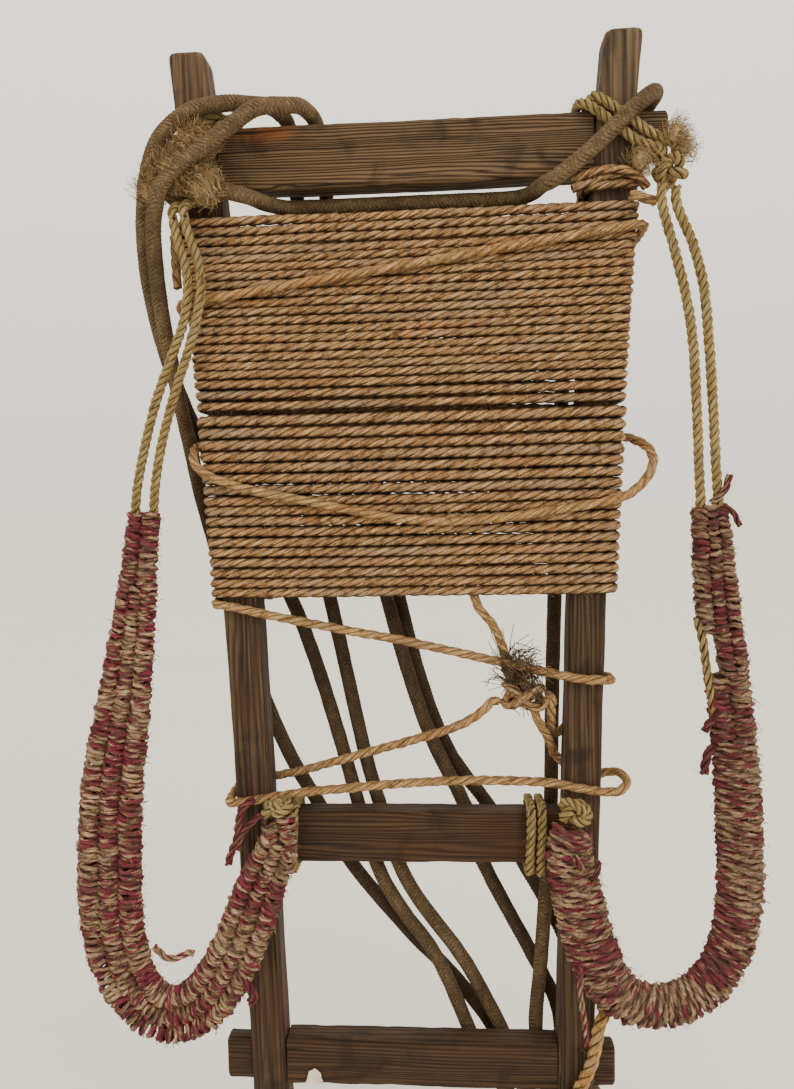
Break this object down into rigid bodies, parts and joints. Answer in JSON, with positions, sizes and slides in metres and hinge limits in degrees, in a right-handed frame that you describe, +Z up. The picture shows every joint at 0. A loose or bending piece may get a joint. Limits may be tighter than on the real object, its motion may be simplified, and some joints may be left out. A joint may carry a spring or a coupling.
{
  "type": "pack frame",
  "caption": "Wooden carrying frame with bowed stiles and tenoned rails, a wound straw rope back, a braided lashing rope and two woven shoulder straps that swing forward.",
  "frame": {"origin": "on the ground, midway between the feet", "axes": "+Z up along the frame, -Y towards the wearer's back (front of the frame), +Y towards the load, +X to the right as seen from the front"},
  "size_m": [0.6267, 0.1188, 1.078],
  "materials": {
    "wood": "weathered, raised grain, matte",
    "straw_rope": "twisted straw, dry and fibrous",
    "braided_rope": "braided sheath, felted and dull",
    "olive_cord": "three-strand twisted cord, dull",
    "woven_strap": "straw and faded crimson rag bound over cords",
    "paper": "torn blank paper, matte"
  },
  "bodies": {
    "frame": {"stile_left": "wood", "stile_right": "wood", "top_rail": "wood", "middle_rail": "wood", "lower_rail": "wood", "back_winding_1": "straw_rope", "back_winding_2": "straw_rope", "back_winding_3": "straw_rope", "back_winding_4": "straw_rope", "back_winding_5": "straw_rope", "back_winding_6": "straw_rope", "winding_start": "straw_rope", "winding_stub": "straw_rope", "winding_tail": "straw_rope", "diagonal_turn": "straw_rope", "loose_turn": "straw_rope", "riser_rope": "straw_rope", "upper_cross_turn": "straw_rope", "lower_cross_turn": "straw_rope", "joining_knot": "straw_rope", "left_strap_tie": "olive_cord", "left_tie_loops": "olive_cord", "left_tie_knot": "olive_cord", "right_strap_tie": "olive_cord", "right_strap_knot": "olive_cord", "right_tie_loops": "olive_cord", "right_tie_knot": "olive_cord", "lashing_outer": "braided_rope", "lashing_middle": "braided_rope", "lashing_inner": "braided_rope", "foot_hitch": "braided_rope", "foot_rope": "straw_rope", "label_scrap": "paper"},
    "left_strap": {"left_strap_band": "woven_strap", "left_cord_outer": "olive_cord", "left_cord_inner": "olive_cord"},
    "right_strap": {"right_strap_band": "woven_strap", "right_cord_outer": "olive_cord", "right_cord_inner": "olive_cord"}
  },
  "joints": [
    {"name": "left_strap_hinge", "type": "hinge", "parent": "frame", "child": "left_strap", "pos_m": [-0.19, -0.042, 0.924], "axis": [-0.1576, 0, 0.9875], "range_deg": [0, 110]},
    {"name": "right_strap_hinge", "type": "hinge", "parent": "frame", "child": "right_strap", "pos_m": [0.214, -0.042, 0.93], "axis": [-0.1696, 0, -0.9855], "range_deg": [0, 110]}
  ]
}
